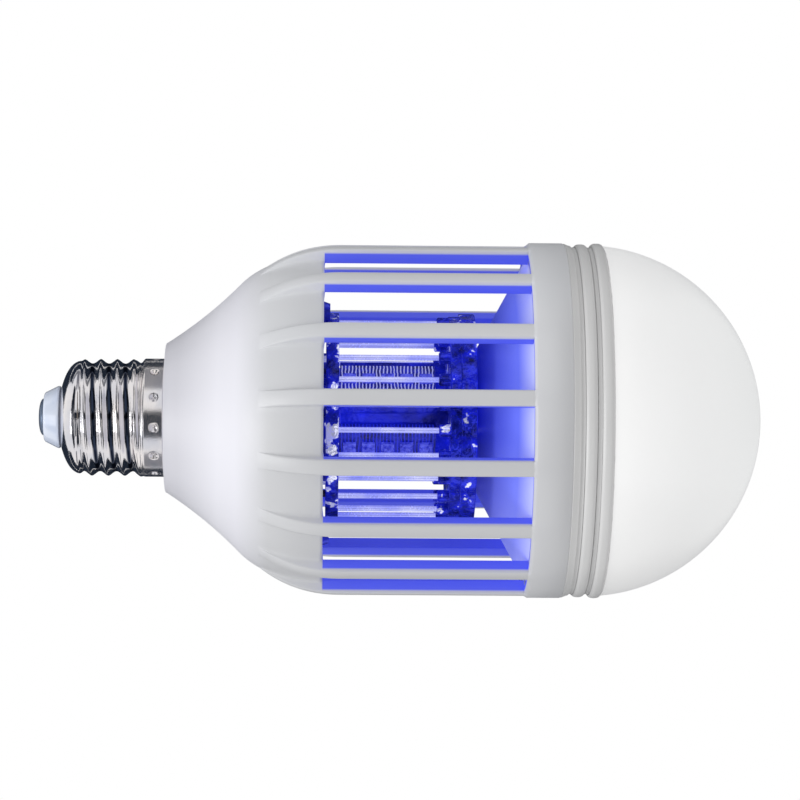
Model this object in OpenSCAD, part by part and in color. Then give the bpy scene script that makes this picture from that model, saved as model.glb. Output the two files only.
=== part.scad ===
// Insect killer light bulb: a screw cap, a slatted housing with a charged wire grid and a violet
// lamp inside, and a frosted lamp dome below. The origin is on the axis, where the screw cap
// meets the housing. +Z points to the tip of the cap and the dome hangs below.

/* [Screw cap] */
// Outer radius of the plain skirt
cap_r = 13.1; // [12.9:0.05:13.2]
// Length of the plain skirt above the housing
skirt_l = 6.6; // [6:0.1:7.4]
// Thickness of the pressed sheet
sheet_t = 0.6; // [0.5:0.05:0.7]
// Height of the thread's upper end above the housing
thread_top = 19.2; // [18:0.1:21]
// Pitch of the thread
thread_pitch = 3.63; // [3.5:0.01:3.7]
// Depth of the thread from crest to root
thread_depth = 1; // [0.7:0.05:1.1]
// Angle where the thread's crest starts
thread_turn = 10; // [0:1:359]
// Length of the rounded nose above the thread
nose_l = 3.9; // [3.2:0.1:4.5]
// Outer radius of the nose's edge
nose_r = 6.9; // [6.5:0.1:7.5]
// Step from the plain skirt in to the thread's crests
thread_step = 0.15; // [0.1:0.05:0.3]
// Step from the plain skirt in to the nose
nose_step = 0.65; // [0.4:0.05:0.9]
// Height over which the sheet steps in above the thread
shoulder_rise = 1.9; // [1.5:0.1:2.3]
// Height over which the thread fades out
thread_fade = 1.4; // [1:0.1:1.8]
// Lean of the nose's bend in from the skirt
nose_lean = 1.8; // [1.4:0.1:2.2]
// Depth of the nose's bend below its edge
nose_fall = 1.7; // [1.3:0.1:2.1]
// Number of crimp marks round the skirt
crimp_count = 12; // [8:1:16]
// Radius of a crimp mark
crimp_r = 0.9; // [0.6:0.1:1.1]
// Depth of a crimp mark
crimp_depth = 0.3; // [0.2:0.05:0.35]
// Height of the crimp marks above the housing
crimp_z = 2.2; // [1.6:0.1:3]
// Angle of the first crimp mark round the axis
crimp_turn = 24.5; // [0:0.5:30]

/* [Insulator and contact] */
// Length of the insulator above the nose
insulator_l = 3.8; // [3:0.1:4.6]
// Radius of the insulator at its end
insulator_tip_r = 5.4; // [5:0.1:6]
// Radius of the insulator's flange under the nose
insulator_flange_r = 8; // [7.6:0.1:8.6]
// Thickness of that flange
insulator_flange_t = 1.4; // [1:0.1:1.8]
// Radius of the centre contact
contact_r = 4.1; // [3.6:0.1:4.6]
// Height of the contact's dome
contact_rise = 1.2; // [0.8:0.1:1.6]
// Radius of the contact's rivet
rivet_r = 1.4; // [1.2:0.1:1.8]
// Reach of the rivet below the nose
rivet_drop = 2; // [1.6:0.1:2.6]
// Rounding of the insulator's end
tip_round = 0.5; // [0.3:0.1:0.8]

/* [Housing] */
// Outer radius where the housing meets the cap
neck_r = 16.7; // [15.5:0.1:18]
// Bevel of the housing's edge there
neck_bevel = 0.4; // [0.2:0.1:0.6]
// Length of the neck inside the cap
spigot_l = 5.4; // [4.6:0.1:5.6]
// Radius of the hole down the neck
neck_bore_r = 9.8; // [9:0.1:10.4]
// Wall thickness of the funnel
wall = 2; // [1.6:0.1:2.4]
// Width of the shoulder, from the flare to the windows
shoulder_w = 6.5; // [5.6:0.1:7.6]
// Depth of that turn below the cap
flare_z = 16.3; // [15:0.1:17.5]
// Growth in radius for each mm of depth at the neck
neck_slope = 0.62; // [0.5:0.01:0.75]
// Growth in radius for each mm of depth at the turn
flare_slope = 1.02; // [0.95:0.01:1.15]
// Length of the funnel, from the cap to the top of the windows
funnel_l = 34.8; // [33:0.1:37]
// Depth at which the ribs reach their full radius
rib_full_z = 38.6; // [37.5:0.1:42]
// Outer radius of the ribs
housing_r = 39; // [38:0.1:40]
// Step from the ribs down to the funnel at the top of the windows
rib_stand = 2.9; // [2.4:0.1:3.2]
// Depth of a rib along the radius
rib_depth = 3.2; // [3.2:0.1:3.8]
// Width of a rib
rib_w = 3.5; // [2.6:0.1:4.4]
// Number of ribs
rib_count = 16; // [12:2:20]
// Length of the windows between the ribs
window_l = 44.6; // [40:0.1:52]
// Height of the smooth band below the windows
band_l = 8.2; // [6.5:0.1:11]
// How far the band stands proud of the ribs
band_proud = 0.4; // [0.2:0.05:0.6]
// Wall thickness of the band
band_wall = 2.4; // [2:0.1:2.6]

/* [Deck] */
// Thickness of the deck above the windows
deck_t = 2; // [1.6:0.1:2.6]
// Distance from the deck's rim to the middle of its screws
deck_screw_inset = 5.8; // [4.8:0.1:7.8]
// Outer radius of a screw boss
boss_r = 3; // [2.6:0.1:3.4]
// Shank radius of every screw
screw_r = 1.2; // [1:0.05:1.4]
// Head radius of every screw
screw_head_r = 2.4; // [2.2:0.1:2.6]
// Head height of every screw
screw_head_t = 1.4; // [1:0.1:1.6]
// Length of every screw under its head
screw_l = 7; // [5.5:0.1:8]
// Width of the cross recess in a screw's head
recess_w = 0.6; // [0.5:0.1:0.8]

/* [Driver] */
// Thickness of the driver board
board_t = 1.6; // [1:0.1:2]
// Distance from the deck's rim to the end of the board
board_inset = 13.8; // [12.8:0.1:15.3]
// Half width of the board under the neck
board_top_half_w = 12; // [10:0.1:13]
// Gap between the board's upper edge and the cap
board_top_gap = 5; // [4.6:0.1:6.3]
// Height of the board's wide part
board_wide_h = 13.8; // [12:0.1:15]
// Height over which the board narrows
board_neck_h = 5; // [4:0.1:8]
// Height of the rails that hold the board
rail_h = 4; // [3:0.1:5]
// Length of a rail
rail_l = 6; // [4:0.1:8]
// Wall thickness of a rail
rail_wall = 1.4; // [1:0.1:2]
// Radius of the smoothing capacitor
can_r = 5; // [4:0.1:5.5]
// Length of the smoothing capacitor
can_l = 16; // [12:0.1:18]
// Bevel of the smoothing capacitor's ends and groove
can_round = 0.6; // [0.4:0.1:0.8]
// Width of the transformer core
core_w = 15; // [13:0.1:16]
// Height of the transformer core
core_h = 12; // [10:0.1:13]
// Thickness of the transformer core
core_t = 6; // [5:0.1:7]
// Width of the core's legs
core_leg_w = 4; // [3.4:0.1:4.4]
// Outer radius of the inductor
inductor_r = 4; // [3:0.1:5]
// Height of the inductor
inductor_h = 6; // [4:0.1:8]
// Length of the film capacitor
film_l = 10; // [8:0.1:11]
// Height of the film capacitor
film_h = 8; // [6:0.1:9]
// Thickness of the film capacitor
film_t = 5; // [4:0.1:6]
// Length of the rectifier
rectifier_l = 8; // [6:0.1:9]
// Height of the rectifier
rectifier_h = 6; // [5:0.1:7]
// Thickness of the rectifier
rectifier_t = 3; // [2:0.1:3.4]
// Radius of the fuse resistor
resistor_r = 1.6; // [1.2:0.1:2]
// Length of the fuse resistor
resistor_l = 8; // [6:0.1:9]
// Radius of a lead
lead_r = 0.8; // [0.6:0.05:0.9]

/* [Grid unit] */
// Gap between the grid's end rings and the heads of the deck screws
ring_screw_gap = 2.1; // [1.2:0.1:3]
// Distance from the rings' rim to the middle of the wires
wire_inset = 2.1; // [1.9:0.1:2.7]
// Radius of a grid wire
wire_r = 0.6; // [0.4:0.05:0.7]
// Number of live wires, with a return wire between each two
live_count = 12; // [8:1:14]
// Angle of the first live wire round the axis
wire_turn = 13; // [0:1:29]
// Gap between the deck and the upper ring's rim
ring_gap = 0.6; // [0.4:0.1:1]
// Thickness of the upper ring
top_ring_t = 2.8; // [2.6:0.1:3.6]
// Thickness of the lower ring's wide rim
low_ring_t = 3.5; // [3.2:0.1:4.5]
// Height of the lower ring's narrow collar
low_collar_t = 2.3; // [1.5:0.1:3]
// Step between the lower ring's rim and its collar
low_collar_step = 0.6; // [0.4:0.1:0.9]
// Height of the sockets that the wires stand in
socket_h = 2.5; // [1.5:0.1:3.5]
// Wall thickness of a socket
socket_wall = 0.6; // [0.4:0.05:0.7]
// Thickness of a bus ring
bus_t = 0.8; // [0.6:0.1:0.9]
// Half width of a bus ring
bus_half_w = 1; // [0.8:0.1:1.1]
// Depth of a bus ring below the face it is let into
bus_cover = 0.4; // [0.2:0.1:0.6]
// Plastic between a wire's end and the bus ring that it must not touch
wire_stop = 0.6; // [0.5:0.1:0.8]
// Drop of the lower ring's rim below the cone's flat top
low_ring_drop = 0.4; // [0.2:0.1:0.6]
// Gap between the hub that holds the column and the cone's edge
hub_gap = 0.6; // [0.4:0.1:0.8]

/* [Violet lamp] */
// Half width of the square lamp column
column_half_w = 9.6; // [9.4:0.1:10.4]
// Width of the bevel on the column's corners
column_bevel = 1.2; // [0.6:0.1:2]
// Radius of the column's round ends
column_end_r = 9.2; // [8.6:0.1:9.6]
// Radius of the hole down the column
column_bore_r = 4.2; // [3.8:0.1:4.6]
// Angle of the first lamp board round the axis
lamp_turn = 59; // [0:1:89]
// Width of a lamp board
lamp_board_w = 11; // [8:0.1:13]
// Thickness of a lamp board
lamp_board_t = 1; // [0.8:0.1:1.2]
// Number of chips on a board
lamp_chips = 5; // [3:1:6]
// Width of a chip
chip_w = 2.8; // [2:0.1:3]
// Thickness of a chip
chip_t = 0.8; // [0.6:0.1:1]
// Height of the lens on a violet chip
lens_h = 0.5; // [0.3:0.1:0.7]

/* [Catching cone] */
// Rise of the cone from the foot of the windows
cone_rise = 11.7; // [9:0.1:14]
// Gap between the foot of the cone and the ribs
cone_gap = 0.45; // [0.3:0.05:0.6]
// Depth of the cone's rim below the windows
cone_rim_drop = 0.5; // [0.4:0.1:0.8]
// Radius of the cone's flat top
cone_top_r = 14; // [13.4:0.1:15]
// Wall thickness of the cone
cone_wall = 1.8; // [1.4:0.1:2.2]
// Thickness of the cone's rim
cone_rim_t = 1.5; // [1:0.1:2]

/* [Lower collar] */
// Height of the collar below the band
collar_l = 8.8; // [8.4:0.1:11]
// Wall thickness of the collar's spigot
collar_wall = 1.9; // [1.6:0.1:2.4]
// Length of the tapered strip below the band
taper_l = 1.6; // [1.2:0.1:2]
// Width of a groove
groove_w = 0.9; // [0.6:0.1:1.1]
// Depth of a groove
groove_depth = 0.8; // [0.5:0.1:1.2]
// Height of a ridge
ridge_l = 2.7; // [2.2:0.1:2.9]
// Rounding of a ridge's edges
ridge_round = 0.5; // [0.3:0.1:0.7]
// Step from the band in to the first ridge
ridge_step = 0.2; // [0.1:0.05:0.3]
// Taper of the strip below the band
taper_in = 0.5; // [0.3:0.1:0.7]
// Width of the ledge that carries the lamp plate
ledge_w = 5.2; // [5:0.1:6.4]
// Thickness of that ledge
ledge_t = 1.6; // [1.2:0.1:2]

/* [Dome and white lamp] */
// Step in from the collar's last ridge to the dome
dome_step = 0.55; // [0.3:0.05:1]
// Width of the dome's shoulder on the collar
dome_shoulder_w = 2.2; // [2:0.1:2.6]
// Depth of the dome below the collar
dome_l = 35.5; // [33:0.1:38]
// Wall thickness of the dome
dome_wall = 2; // [1.5:0.1:2.4]
// Length of the dome's spigot inside the collar
dome_spigot_l = 4; // [3:0.1:4.2]
// Thickness of the heat sink disc
sink_t = 1.2; // [0.8:0.1:1.6]
// Thickness of the lamp plate
plate_t = 1.4; // [1:0.1:1.6]
// Distance from the ledge in to the outer circle of white chips
white_inset = 5; // [4:0.1:7]
// Number of white chips on the outer circle
white_count = 16; // [8:1:20]

/* [Fits] */
// Clearance round pieces that slip into each other
slip = 0.3; // [0.2:0.05:0.4]
// Clearance round a wire in its hole
wire_gap = 0.15; // [0.1:0.05:0.2]
// Clearance between the neck and the cap
spigot_gap = 0.4; // [0.35:0.05:0.6]
// Gap between the dome's spigot and the lamp plate
plate_gap = 0.7; // [0.4:0.1:1]

/* [Hidden] */
screw_count = 3;
deck_screw_turn = 90;
plate_screw_turn = 30;
grid_lead_turn = 225;
$fn = 96;
// Reach of joined shapes into each other, and of cuts past a face
lap = 0.5;
cut = 1;

window_top = -funnel_l;
window_foot = window_top - window_l;
band_end = window_foot - band_l;
collar_end = band_end - collar_l;
cap_end = thread_top + nose_l;
rivet_end = cap_end - rivet_drop;
shell_end_r = housing_r - rib_stand;
flare_r = shell_end_r - shoulder_w;
rib_in_r = housing_r - rib_depth;
band_r = housing_r + band_proud;
band_in_r = band_r - band_wall;
spigot_r = cap_r - sheet_t - spigot_gap;
deck_r = shell_end_r - wall - slip;
deck_screw_ring_r = deck_r - deck_screw_inset;
deck_top = window_top + deck_t;
board_half_w = deck_r - board_inset;
board_h = -deck_top - board_top_gap;
cone_top = window_foot + cone_rise;
cone_base_r = rib_in_r - cone_gap;
cone_slope = (cone_base_r - cone_top_r) / cone_rise;
cone_rim_top = window_foot - cone_rim_drop;
cone_seat = cone_rim_top - cone_rim_t;
collar_spigot_r = band_in_r - slip;
collar_in_r = collar_spigot_r - collar_wall;
ledge_r = collar_in_r - ledge_w;
dome_rim_r = band_r - dome_step;
dome_r = (pow(dome_rim_r, 2) + pow(dome_l, 2)) / (2 * dome_l);
dome_centre = collar_end - dome_l + dome_r;
dome_spigot_r = dome_rim_r - dome_shoulder_w;
plate_low = collar_end + dome_spigot_l + plate_gap;
sink_low = plate_low + plate_t;
ledge_low = sink_low + sink_t;

grid_r = deck_screw_ring_r - screw_head_r - ring_screw_gap;
wire_ring_r = grid_r - wire_inset;
ring_top = window_top - ring_gap;
top_ring_low = ring_top - top_ring_t;
low_ring_low = cone_top - low_ring_drop;
low_ring_top = low_ring_low + low_ring_t;
low_collar_top = low_ring_top + low_collar_t;
socket_top = low_collar_top + socket_h;
bus_groove = bus_t + bus_cover;
ring_bore_r = column_end_r + slip;
ring_hub_r = cone_top_r + hub_gap;
low_ring_in_r = ring_hub_r + 2 * lap;
wire_hole_r = wire_r + wire_gap;
wire_step = 180 / live_count;
live_foot = low_ring_low + bus_groove + wire_stop;
return_head = ring_top - bus_groove - wire_stop;
bus_lead_z = cone_top + lead_r + 2 * slip;
lamp_mid = (top_ring_low + socket_top) / 2;
lamp_board_l = top_ring_low - socket_top - 2 * slip;
chip_step = lamp_board_l / lamp_chips;

board_y = board_t / 2;
transformer_x = -8.5;
transformer_z = deck_top + core_h / 2 + 2;
winding_r = core_w / 2 - core_leg_w / 2 - slip;
transformer_y = -board_y - winding_r - slip;
can_x = 9;
film_z = deck_top + 7;

// Points of a smooth bend from a to c, drawn towards b
function bend(a, b, c, n = 8) =
    [for (i = [0:n]) let (t = i / n) pow(1 - t, 2) * a + 2 * t * (1 - t) * b + t * t * c];

// The same line moved inwards by d
function inset(p, d) = [
    for (i = [0:len(p) - 1])
        let (
            from = p[max(i - 1, 0)],
            to = p[min(i + 1, len(p) - 1)],
            way = (to - from) / norm(to - from)
        )
        p[i] + d * [way[1], -way[0]]
];

function backwards(p) = [for (i = [len(p) - 1:-1:0]) p[i]];

// Outline of one raised ridge with rounded edges, from depth top down to depth low
function ridge(base_r, r, top, low, round = ridge_round) = concat(
    [[base_r, top]],
    bend([r - round, top], [r, top], [r, top - round], 3),
    bend([r, low + round], [r, low], [r - round, low], 3),
    [[base_r, low]]
);

module ring(outer, inner, low, high) {
    rotate_extrude()
        translate([inner, low])
            square([outer - inner, high - low]);
}

module around(count, turn = 0) {
    for (i = [0:count - 1])
        rotate(turn + i * 360 / count)
            children();
}

// A pan head screw with a cross recess: its head's flat side is at the origin and its shank
// points up
module screw() {
    recess = screw_head_t / 2;
    difference() {
        union() {
            cylinder(r = screw_r, h = screw_l, $fn = 24);
            translate([0, 0, -screw_head_t])
                cylinder(r1 = screw_head_r * 0.8, r2 = screw_head_r, h = screw_head_t, $fn = 32);
        }
        for (a = [0, 90])
            rotate(a)
                translate([-screw_head_r / 2, -recess_w / 2, -screw_head_t - cut])
                    cube([screw_head_r, recess_w, recess + cut]);
    }
}

module screw_hole(depth) {
    translate([0, 0, -cut])
        cylinder(r = screw_r + wire_gap, h = depth + cut, $fn = 24);
}

// A round tube swept along a route of points
lead_sides = 8;
function unit(v) = v / norm(v);
function route_way(p, i) =
    unit(unit(p[min(i + 1, len(p) - 1)] - p[i == len(p) - 1 ? i - 1 : i])
        + unit(p[i == 0 ? 1 : i] - p[max(i - 1, 0)]));
function lead_ring(at, way, r) =
    let (side = unit(cross(way, [0, 1, 0])), up = cross(side, way))
    [for (k = [0:lead_sides - 1])
        at + r * (cos(k * 360 / lead_sides) * side + sin(k * 360 / lead_sides) * up)];
module lead(p, r = lead_r) {
    last = len(p) - 1;
    points = [for (i = [0:last]) each lead_ring(p[i], route_way(p, i), r)];
    sides = [for (i = [0:last - 1], k = [0:lead_sides - 1])
        let (a = i * lead_sides + k, b = i * lead_sides + (k + 1) % lead_sides)
        each [[a, b, a + lead_sides], [b, b + lead_sides, a + lead_sides]]];
    start = [[for (k = [lead_sides - 1:-1:0]) k]];
    end = [[for (k = [0:lead_sides - 1]) last * lead_sides + k]];
    polyhedron(points, concat(start, sides, end), convexity = 6);
}

module centre_contact() {
    seat = cap_end + insulator_l;
    color("lightsteelblue")
        rotate_extrude()
            polygon(concat(
                [[0, rivet_end], [rivet_r, rivet_end], [rivet_r, seat], [contact_r, seat]],
                bend([contact_r, seat + contact_rise / 4],
                    [contact_r * 0.8, seat + contact_rise], [0, seat + contact_rise])
            ));
}

module cap_insulator() {
    neck = nose_r - sheet_t - wire_gap;
    under = cap_end - sheet_t - slip;
    color("lavender")
        rotate_extrude()
            polygon([
                [rivet_r + wire_gap, under - insulator_flange_t],
                [insulator_flange_r, under - insulator_flange_t],
                [insulator_flange_r, under - insulator_flange_t * 0.6],
                [neck, under - wire_gap],
                [neck, cap_end + wire_gap],
                [nose_r, cap_end + wire_gap],
                [insulator_tip_r + tip_round / 2, cap_end + insulator_l - tip_round],
                [insulator_tip_r - tip_round / 2, cap_end + insulator_l],
                [rivet_r + wire_gap, cap_end + insulator_l]
            ]);
}

// Radius of the pressed sheet's outside in the threaded part
thread_r = cap_r - thread_step;
nose_join_r = cap_r - nose_step;
thread_low = skirt_l - sheet_t;
function ease(t) = let (u = min(max(t, 0), 1)) u * u * (3 - 2 * u);
function thread_radius(a, z) =
    let (
        shoulder = ease((z - thread_top) / shoulder_rise + 1),
        fade = ease((z - thread_top) / thread_fade + 1),
        swell = ease((z - skirt_l) / (thread_pitch / 2)) * (1 - fade),
        wave = (1 - cos(360 * z / thread_pitch - a + thread_turn)) / 2
    )
    thread_r - (thread_r - nose_join_r) * shoulder - thread_depth * swell * wave;

thread_sides = 40;
thread_rows = 32;
module thread_sleeve() {
    height = thread_top - thread_low;
    layer = thread_sides * (thread_rows + 1);
    function wall_points(offset_r) = [
        for (j = [0:thread_rows], k = [0:thread_sides - 1])
            let (
                z = thread_low + height * j / thread_rows,
                a = 360 * k / thread_sides,
                r = thread_radius(a, z) - offset_r
            )
            [r * cos(a), r * sin(a), z]
    ];
    function at(j, k, side) = side * layer + j * thread_sides + k % thread_sides;
    walls = [for (side = [0, 1], j = [0:thread_rows - 1], k = [0:thread_sides - 1])
        let (
            a = at(j, k, side),
            b = at(j, k + 1, side),
            c = at(j + 1, k + 1, side),
            d = at(j + 1, k, side)
        )
        each side == 0 ? [[a, d, c], [a, c, b]] : [[a, c, d], [a, b, c]]];
    ends = [for (j = [0, thread_rows], k = [0:thread_sides - 1])
        let (a = at(j, k, 0), b = at(j, k + 1, 0), c = at(j, k + 1, 1), d = at(j, k, 1))
        each j == 0 ? [[a, b, c], [a, c, d]] : [[a, c, b], [a, d, c]]];
    polyhedron(concat(wall_points(0), wall_points(sheet_t)), concat(walls, ends), convexity = 8);
}

module cap_shell() {
    nose = bend([nose_join_r, thread_top - sheet_t / 2],
        [cap_r - nose_lean, cap_end - nose_fall], [nose_r, cap_end]);
    color("silver")
        difference() {
            union() {
                ring(cap_r, cap_r - sheet_t, 0, skirt_l);
                thread_sleeve();
                rotate_extrude()
                    polygon(concat(nose, backwards(inset(nose, -sheet_t))));
            }
            around(crimp_count, crimp_turn)
                translate([cap_r + crimp_r - crimp_depth, 0, crimp_z])
                    sphere(r = crimp_r, $fn = 24);
        }
}

flare = bend(
    [neck_r, -neck_bevel],
    let (depth = (neck_r - flare_r + flare_slope * flare_z) / (flare_slope - neck_slope))
        [neck_r + neck_slope * depth, -depth],
    [flare_r, -flare_z]
);
function shoulder(from, r, z) =
    bend(from, [r, -flare_z - (r - flare_r) / flare_slope], [r, z]);
shell_shoulder = shoulder([flare_r, -flare_z], shell_end_r, window_top);
funnel_line = concat(flare, [for (i = [1:len(shell_shoulder) - 1]) shell_shoulder[i]]);
funnel_inside = [
    for (p = inset(funnel_line, wall))
        if (p[1] < -wall - lap && p[1] > window_top + cut) p
];

// The housing is one moulding: funnel, ribs and band
module upper_housing() {
    module funnel_wall() {
        rotate_extrude()
            polygon(concat(
                [[neck_bore_r, spigot_l], [spigot_r, spigot_l], [spigot_r, 0], [neck_r - neck_bevel, 0]],
                funnel_line,
                [[shell_end_r - wall, window_top]],
                backwards(funnel_inside),
                [[neck_bore_r, -wall]]
            ));
    }
    module rib_ring() {
        rotate_extrude()
            polygon(concat(
                shoulder([flare_r - lap, -flare_z - lap], housing_r, -rib_full_z),
                [
                    [housing_r, window_foot - cut],
                    [housing_r - band_wall / 2, window_foot - cut],
                    [housing_r - band_wall / 2, window_foot],
                    [rib_in_r, window_foot],
                    [rib_in_r, window_top + lap]
                ],
                backwards([for (p = inset(shell_shoulder, wall / 2)) if (p[1] > window_top + cut) p])
            ));
    }
    module bosses() {
        around(screw_count, deck_screw_turn)
            translate([deck_screw_ring_r, 0, deck_top])
                cylinder(r = boss_r, h = funnel_l, $fn = 32);
    }
    color("whitesmoke")
        difference() {
            union() {
                funnel_wall();
                intersection() {
                    rib_ring();
                    for (i = [0:rib_count / 2 - 1])
                        rotate((i + 0.5) * 360 / rib_count)
                            translate([-band_r, -rib_w / 2, band_end])
                                cube([2 * band_r, rib_w, -band_end]);
                }
                rotate_extrude()
                    polygon([
                        [band_in_r, window_foot], [housing_r, window_foot],
                        [band_r, window_foot - 2 * band_proud], [band_r, band_end], [band_in_r, band_end]
                    ]);
                intersection() {
                    bosses();
                    rotate_extrude()
                        polygon(concat(
                            [[0, -wall / 2]],
                            inset(funnel_line, wall / 2),
                            [[0, window_top]]
                        ));
                }
            }
            around(screw_count, deck_screw_turn)
                translate([deck_screw_ring_r, 0, deck_top])
                    screw_hole(screw_l);
        }
}

// Disc that closes the funnel and carries the grid unit and the driver board
module upper_deck() {
    color("white")
        difference() {
            union() {
                translate([0, 0, window_top])
                    cylinder(r = deck_r, h = deck_t);
                for (x = [-1, 1])
                    translate([
                        x * (board_half_w - rail_l / 2) - rail_l / 2,
                        -board_y - rail_wall,
                        deck_top - lap
                    ])
                        cube([rail_l, board_t + 2 * rail_wall, rail_h + lap]);
            }
            translate([-board_half_w - cut, -board_y - wire_gap, deck_top])
                cube([2 * (board_half_w + cut), board_t + 2 * wire_gap, rail_h + cut]);
            translate([0, 0, window_top - cut])
                cylinder(r = column_bore_r, h = deck_t + 2 * cut, $fn = 48);
            around(screw_count, deck_screw_turn)
                translate([deck_screw_ring_r, 0, window_top])
                    screw_hole(deck_t + cut);
            rotate(grid_lead_turn)
                translate([wire_ring_r, 0, window_top - cut])
                    cylinder(r = lead_r + slip, h = deck_t + 2 * cut, $fn = 24);
        }
}

module deck_screws() {
    color("silver")
        around(screw_count, deck_screw_turn)
            translate([deck_screw_ring_r, 0, window_top])
                screw();
}

module driver_board() {
    color("darkgreen")
        translate([0, board_y, deck_top])
            rotate([90, 0, 0])
                linear_extrude(height = board_t)
                    polygon([
                        [-board_half_w, 0], [board_half_w, 0],
                        [board_half_w, board_wide_h], [board_top_half_w, board_wide_h + board_neck_h],
                        [board_top_half_w, board_h], [-board_top_half_w, board_h],
                        [-board_top_half_w, board_wide_h + board_neck_h], [-board_half_w, board_wide_h]
                    ]);
}

module smoothing_capacitor() {
    groove = can_l / 8;
    color("midnightblue")
        translate([can_x, -board_y - can_r - slip, deck_top + can_round])
            rotate_extrude()
                polygon([
                    [0, 0], [can_r - can_round, 0], [can_r, can_round],
                    [can_r, groove], [can_r - can_round, groove + can_round],
                    [can_r, groove + 2 * can_round], [can_r, can_l - can_round],
                    [can_r - can_round, can_l], [0, can_l]
                ]);
}

module transformer_core() {
    window_w = core_w / 2 - core_leg_w;
    window_h = core_h - core_leg_w;
    color("dimgray")
        translate([transformer_x, transformer_y, transformer_z])
            difference() {
                cube([core_w, core_t, core_h], center = true);
                for (x = [-1, 1])
                    translate([x * (core_leg_w + window_w) / 2, 0, 0])
                        cube([window_w, core_t + 2 * cut, window_h], center = true);
            }
}

module transformer_winding() {
    height = core_h - core_leg_w - 2 * slip;
    inner = norm([core_leg_w, core_t]) / 2 + wire_gap;
    color("chocolate")
        translate([transformer_x, transformer_y, transformer_z - height / 2])
            ring(winding_r, inner, 0, height);
}

module film_capacitor() {
    color("goldenrod")
        translate([-film_l - 2 * lead_r, board_y, film_z])
            cube([film_l, film_t, film_h]);
}

module rectifier() {
    color("black")
        translate([-rectifier_l / 2, board_y, film_z + film_h + rectifier_t])
            cube([rectifier_l, rectifier_t, rectifier_h]);
}

module inductor() {
    flange = inductor_h / 6;
    waist = inductor_r * 0.8;
    color("saddlebrown")
        translate([can_x, board_y, film_z])
            rotate([-90, 0, 0])
                rotate_extrude()
                    polygon([
                        [0, 0], [inductor_r, 0], [inductor_r, flange], [waist, flange],
                        [waist, inductor_h - flange], [inductor_r, inductor_h - flange],
                        [inductor_r, inductor_h], [0, inductor_h]
                    ]);
}

module fuse_resistor() {
    color("tan")
        translate([-resistor_l / 2, -board_y - resistor_r - slip, transformer_z + core_h])
            rotate([0, 90, 0])
                cylinder(r = resistor_r, h = resistor_l, $fn = 32);
}

lead_y = board_y + lead_r + slip;

module live_lead() {
    color("firebrick")
        lead([
            [0, 0, rivet_end - slip], [0, -0.4, rivet_end - 5], [-1.5, -1.6, 9],
            [-4, -2.6, 1], [-7, -2.4, -5], [-8, -lead_y, deck_top + 22]
        ]);
}

module neutral_lead() {
    color("black")
        lead([
            [spigot_r - 1, 0, spigot_l + lead_r + slip], [9.4, -0.2, spigot_l + lead_r + slip],
            [8, -0.9, 4], [7.4, -2, -1], [7.8, -lead_y, -5], [8, -lead_y, deck_top + 20]
        ]);
}

module grid_leads() {
    low = ring_top - bus_groove + bus_t + slip;
    hole = wire_ring_r * cos(grid_lead_turn);
    board_edge = -board_half_w + 2 * lead_r;
    color("firebrick") {
        lead([
            [board_edge, -lead_y, deck_top + 9], [board_edge, -lead_y - 0.3, deck_top + 6],
            [board_edge, -7.5, deck_top + 3.4], [hole - 1, hole + 2.6, deck_top + 2.2],
            [hole, hole, deck_top + 1], [hole, hole, low]
        ]);
        lead([
            [-3.2, lead_y, deck_top + 6], [-2.8, lead_y, deck_top + 3], [-2.4, 1.9, window_top - 6],
            [-2.2, 0.6, cone_top + 8], [-2.4, 0.2, bus_lead_z + 2.4],
            [-3, 0, bus_lead_z + 0.6], [-4.6, 0, bus_lead_z], [-column_end_r, 0, bus_lead_z]
        ]);
    }
}

module lamp_leads() {
    foot = sink_low + sink_t + lead_r;
    color("gold")
        for (side = [-1, 1])
            lead([
                [3.2, side * lead_y, deck_top + 6], [3, side * lead_y, deck_top + 3],
                [1.8, side * 2, window_top - 6], [1.6, side * 1.6, cone_top - 1],
                [2.4, side * 2.4, cone_top - 12], [2.4, side * 2.6, foot]
            ]);
}

module wire_holes(from, to, first) {
    around(live_count, first)
        translate([wire_ring_r, 0, from])
            cylinder(r = wire_hole_r, h = to - from, $fn = 24);
}

module grid_top_ring() {
    color("cornflowerblue")
        difference() {
            union() {
                ring(grid_r, ring_bore_r, top_ring_low, ring_top);
                ring(ring_hub_r, ring_bore_r, top_ring_low, window_top);
            }
            ring(wire_ring_r + bus_half_w + slip, wire_ring_r - bus_half_w - slip,
                ring_top - bus_groove, ring_top + cut);
            wire_holes(top_ring_low - cut, ring_top, wire_turn);
            wire_holes(top_ring_low - cut, return_head + wire_gap, wire_turn + wire_step);
        }
}

module grid_low_ring() {
    color("cornflowerblue")
        difference() {
            union() {
                ring(grid_r, low_ring_in_r, low_ring_low, low_ring_top);
                ring(grid_r - low_collar_step, ring_bore_r, low_ring_top - lap, low_collar_top);
                ring(low_ring_in_r + lap, ring_bore_r, cone_top, low_ring_top);
                around(2 * live_count, wire_turn)
                    translate([wire_ring_r, 0, low_collar_top - lap])
                        cylinder(r = wire_hole_r + socket_wall, h = socket_h + lap, $fn = 24);
            }
            ring(wire_ring_r + bus_half_w + slip, wire_ring_r - bus_half_w - slip,
                low_ring_low - cut, low_ring_low + bus_groove);
            translate([-wire_ring_r, -bus_half_w - slip, low_ring_low - cut])
                cube([wire_ring_r, 2 * (bus_half_w + slip), bus_groove + cut]);
            wire_holes(live_foot - wire_gap, socket_top + cut, wire_turn);
            wire_holes(low_ring_low, socket_top + cut, wire_turn + wire_step);
        }
}

module grid_wire(from, to) {
    translate([wire_ring_r, 0, from])
        cylinder(r = wire_r, h = to - from, $fn = 24);
}

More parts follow.
